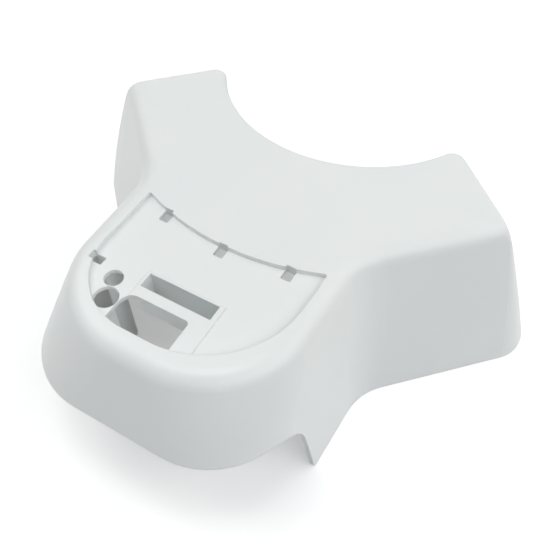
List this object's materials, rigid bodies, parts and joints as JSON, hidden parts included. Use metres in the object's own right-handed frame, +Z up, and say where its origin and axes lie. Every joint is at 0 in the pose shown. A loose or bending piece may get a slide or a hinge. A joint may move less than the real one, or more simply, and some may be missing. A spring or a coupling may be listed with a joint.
{
  "type": "moulded appliance housing",
  "caption": "One-piece moulded front housing for a kitchen appliance: rounded control nose with a sunk panel field, two flared wings and a round bowl bay behind.",
  "frame": {"origin": "middle of the footprint, on the plane the skirt stands on", "axes": "+Z up, nose towards -Y, bowl bay towards +Y, wing to wing along X, the shell's mirror plane at X = 0"},
  "size_m": [0.3436, 0.283, 0.103],
  "materials": {
    "shell": "fine satin moulded finish, white"
  },
  "bodies": {
    "root": {"housing": "shell"}
  },
  "joints": []
}
